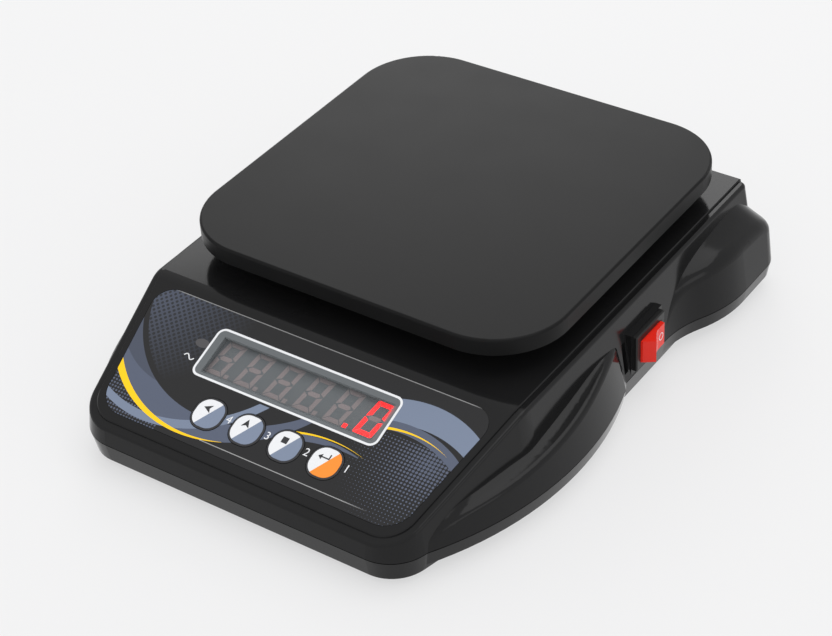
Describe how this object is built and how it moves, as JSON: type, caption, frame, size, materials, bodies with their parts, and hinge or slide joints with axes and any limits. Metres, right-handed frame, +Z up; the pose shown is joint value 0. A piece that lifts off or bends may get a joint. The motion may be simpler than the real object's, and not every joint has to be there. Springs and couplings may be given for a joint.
{
  "type": "digital kitchen scale",
  "caption": "Battery and mains counter scale with a raised square platform, a sloped console with a digit display and round keys, and side grips.",
  "frame": {"origin": "on the table, under the middle of the housing", "axes": "+X to the side with the power switch, +Y to the rear, +Z up; the console faces -Y"},
  "size_m": [0.1858, 0.2195, 0.0557],
  "materials": {
    "black_gloss": "glossy black moulded plastic",
    "black_satin": "satin black moulded plastic with a fine grain",
    "carrier_black": "plain black moulded plastic",
    "rubber": "soft black rubber",
    "film": "printed polyester film",
    "window": "grey tinted acrylic",
    "key_print": "printed polyester film over a dome",
    "digit_face": "grey face with seven light segments",
    "lamp": "tinted lamp body",
    "rocker_red": "glossy red plastic",
    "switch_black": "black moulded plastic",
    "green_board": "green solder mask",
    "chip_black": "black moulded package",
    "header_white": "natural moulded plastic",
    "sleeve_blue": "shrink sleeve",
    "zinc_steel": "zinc plated steel",
    "aluminium": "milled aluminium",
    "brass": "plain brass"
  },
  "bodies": {
    "base": {"upper_housing": "black_gloss", "lower_housing": "black_gloss", "housing_screws": "zinc_steel", "front_left_foot": "rubber", "front_right_foot": "rubber", "rear_left_foot": "rubber", "rear_right_foot": "rubber", "control_film": "film", "display_window": "window", "display_board": "green_board", "display_board_screws": "zinc_steel", "digit_1": "digit_face", "digit_2": "digit_face", "digit_3": "digit_face", "digit_4": "digit_face", "digit_5": "digit_face", "digit_6": "digit_face", "mains_lamp": "lamp", "key_switches": "switch_black", "main_board": "green_board", "main_board_screws": "zinc_steel", "board_chips": "chip_black", "filter_capacitors": "sleeve_blue", "beeper": "switch_black", "board_headers": "header_white", "battery": "sleeve_blue", "battery_strap": "zinc_steel", "strap_screws": "zinc_steel", "switch_housing": "switch_black", "switch_terminals": "brass", "dc_jack": "switch_black", "jack_nut": "zinc_steel", "lower_spacer": "aluminium", "load_cell": "aluminium", "load_cell_screws": "zinc_steel", "overload_stops": "zinc_steel"},
    "carrier": {"platform_carrier": "carrier_black", "platform_pads": "rubber", "carrier_screws": "zinc_steel", "upper_spacer": "aluminium"},
    "platform_body": {"platform": "black_satin"},
    "rocker": {"power_rocker": "rocker_red"},
    "left_key_body": {"left_key": "key_print", "left_key_plunger": "switch_black"},
    "up_key_body": {"up_key": "key_print", "up_key_plunger": "switch_black"},
    "stop_key_body": {"stop_key": "key_print", "stop_key_plunger": "switch_black"},
    "enter_key_body": {"enter_key": "key_print", "enter_key_plunger": "switch_black"}
  },
  "joints": [
    {"name": "platform_lift", "type": "slide", "parent": "carrier", "child": "platform_body", "axis": [0, 0, 1], "range_m": [0, 0.06]},
    {"name": "load_deflection", "type": "slide", "parent": "base", "child": "carrier", "axis": [0, 0, 1], "range_m": [-0.0004, 0], "stiffness_N_per_m": 50000, "springref_m": 0.0002, "deforming": ["load_cell"]},
    {"name": "rocker_turn", "type": "hinge", "parent": "base", "child": "rocker", "pos_m": [0.0828, 0.02591, 0.0208], "axis": [0, 0, -1], "range_deg": [0, 30]},
    {"name": "left_key_press", "type": "slide", "parent": "base", "child": "left_key_body", "axis": [0, 0.3371, -0.9415], "range_m": [0, 0.00035], "stiffness_N_per_m": 400, "springref_m": -0.0005},
    {"name": "up_key_press", "type": "slide", "parent": "base", "child": "up_key_body", "axis": [0, 0.3371, -0.9415], "range_m": [0, 0.00035], "stiffness_N_per_m": 400, "springref_m": -0.0005},
    {"name": "stop_key_press", "type": "slide", "parent": "base", "child": "stop_key_body", "axis": [0, 0.3371, -0.9415], "range_m": [0, 0.00035], "stiffness_N_per_m": 400, "springref_m": -0.0005},
    {"name": "enter_key_press", "type": "slide", "parent": "base", "child": "enter_key_body", "axis": [0, 0.3371, -0.9415], "range_m": [0, 0.00035], "stiffness_N_per_m": 400, "springref_m": -0.0005}
  ]
}
